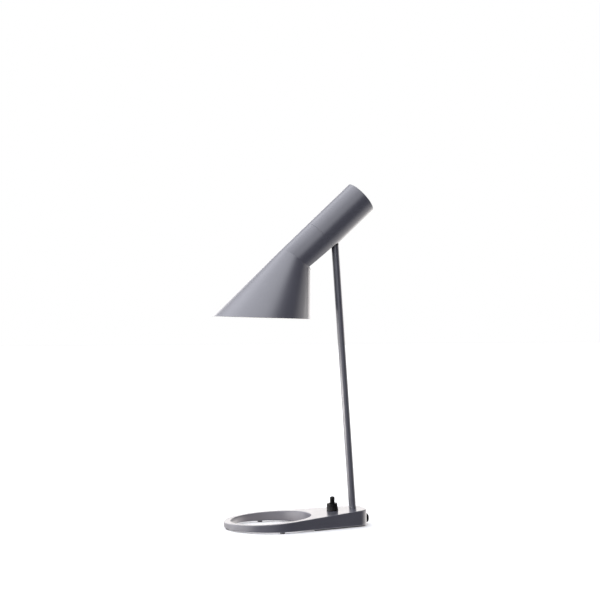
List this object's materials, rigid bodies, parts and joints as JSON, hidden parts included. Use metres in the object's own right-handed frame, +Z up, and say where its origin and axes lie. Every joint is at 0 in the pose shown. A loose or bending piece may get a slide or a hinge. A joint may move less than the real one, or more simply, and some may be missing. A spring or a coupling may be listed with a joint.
{
  "type": "architect desk lamp",
  "caption": "Desk lamp with an oblique cone shade on a tube that tilts on a slim leaning stem, a heavy wedge base with a round hole, and a toggle switch.",
  "frame": {"origin": "centre of the bounding box on the surface that the feet stand on", "axes": "+Z up, -X towards the mouth of the shade (the front), +Y across the lamp; the XZ plane is its middle"},
  "size_m": [0.2696, 0.1594, 0.56],
  "materials": {
    "grey_paint": "satin",
    "black_paint": "matte",
    "zinc_steel": "satin",
    "brass": "satin",
    "black_plastic": "satin",
    "switch_plastic": "matte",
    "nylon": "satin",
    "rubber": "matte",
    "lead_sheath": "matte",
    "bakelite": "gloss",
    "ceramic": "satin",
    "bulb_metal": "satin",
    "bulb_glass": "gloss"
  },
  "bodies": {
    "base": {"base_casting": "grey_paint", "stem_tube": "grey_paint", "bottom_cover": "black_paint", "stem_fork": "black_paint", "cover_screws": "zinc_steel", "stem_washer": "zinc_steel", "stem_nut": "zinc_steel", "wave_washers": "zinc_steel", "pivot_screws": "zinc_steel", "gland_nut": "zinc_steel", "terminal_screws": "zinc_steel", "earth_screw": "zinc_steel", "stem_nipple": "brass", "switch_nut": "black_plastic", "cord_gland": "black_plastic", "switch_body": "switch_plastic", "terminal_block": "nylon", "friction_washers": "nylon", "feet": "rubber", "switch_leads": "lead_sheath", "stem_lead": "lead_sheath"},
    "head": {"shade": "grey_paint", "rear_tube": "grey_paint", "slot_shield": "black_paint", "joining_collar": "zinc_steel", "collar_screw": "zinc_steel", "end_cap": "grey_paint", "pivot_bracket": "zinc_steel", "bracket_spacers": "zinc_steel", "bracket_nuts": "zinc_steel", "lampholder_nipple": "brass", "nipple_nuts": "zinc_steel", "lampholder_body": "bakelite", "lampholder_insert": "ceramic", "lampholder_shell": "brass", "lampholder_contact": "brass", "bulb_cap": "bulb_metal", "bulb_glass": "bulb_glass", "head_lead": "lead_sheath"},
    "lever": {"switch_lever": "black_plastic"}
  },
  "joints": [
    {"name": "head_tilt", "type": "hinge", "parent": "base", "child": "head", "pos_m": [0.06983, 0, 0.47197], "axis": [0, 1, 0], "range_deg": [-18, 27]},
    {"name": "switch_rock", "type": "hinge", "parent": "base", "child": "lever", "pos_m": [0.06603, 0, 0.0277], "axis": [0.9976, 0, 0.0698], "range_deg": [-24, 0]}
  ]
}
